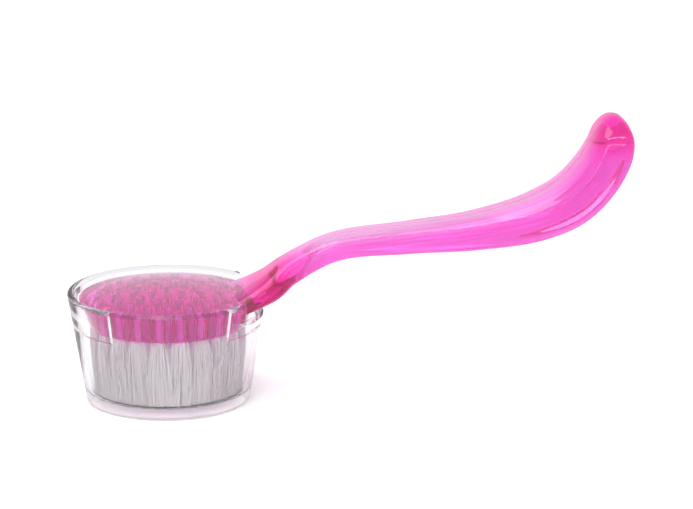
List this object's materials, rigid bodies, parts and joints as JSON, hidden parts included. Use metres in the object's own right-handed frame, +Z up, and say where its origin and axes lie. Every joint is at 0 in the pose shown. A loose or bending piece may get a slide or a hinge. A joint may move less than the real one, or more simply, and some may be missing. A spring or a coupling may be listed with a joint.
{
  "type": "soft brush with cap",
  "caption": "Round soft-bristle brush with a long upturned spoon handle, standing bristles down in its clear tapered cap, which the brush lifts out of.",
  "frame": {"origin": "middle of the flat underside of the cap, which the whole object stands on", "axes": "+X along the handle, from the head out to the tip; +Z up, from the cap's base to the head; -Z is the direction the bristles point"},
  "size_m": [0.1472, 0.052, 0.0738],
  "materials": {
    "clear_plastic": "clear moulded, polished",
    "pink_plastic": "tinted see-through moulded, polished",
    "bristle": "fine white filament, cut square",
    "anchor_wire": "bright flat wire"
  },
  "bodies": {
    "cap": {"cap": "clear_plastic"},
    "brush": {"handle_and_head": "pink_plastic", "tuft_01": "bristle", "tuft_02": "bristle", "tuft_03": "bristle", "tuft_04": "bristle", "tuft_05": "bristle", "tuft_06": "bristle", "tuft_07": "bristle", "tuft_08": "bristle", "tuft_09": "bristle", "tuft_10": "bristle", "tuft_11": "bristle", "tuft_12": "bristle", "tuft_13": "bristle", "tuft_14": "bristle", "tuft_15": "bristle", "tuft_16": "bristle", "tuft_17": "bristle", "tuft_18": "bristle", "tuft_19": "bristle", "tuft_20": "bristle", "tuft_21": "bristle", "tuft_22": "bristle", "tuft_23": "bristle", "tuft_24": "bristle", "tuft_25": "bristle", "tuft_26": "bristle", "tuft_27": "bristle", "tuft_28": "bristle", "tuft_29": "bristle", "tuft_30": "bristle", "tuft_31": "bristle", "tuft_32": "bristle", "tuft_33": "bristle", "tuft_34": "bristle", "tuft_35": "bristle", "tuft_36": "bristle", "tuft_37": "bristle", "tuft_38": "bristle", "tuft_39": "bristle", "tuft_40": "bristle", "tuft_41": "bristle", "tuft_42": "bristle", "tuft_43": "bristle", "tuft_44": "bristle", "tuft_45": "bristle", "tuft_46": "bristle", "tuft_47": "bristle", "tuft_48": "bristle", "tuft_49": "bristle", "tuft_50": "bristle", "tuft_51": "bristle", "tuft_52": "bristle"}
  },
  "joints": [
    {"name": "brush_lift", "type": "slide", "parent": "cap", "child": "brush", "axis": [0, 0, 1], "range_m": [0, 0.045]}
  ]
}
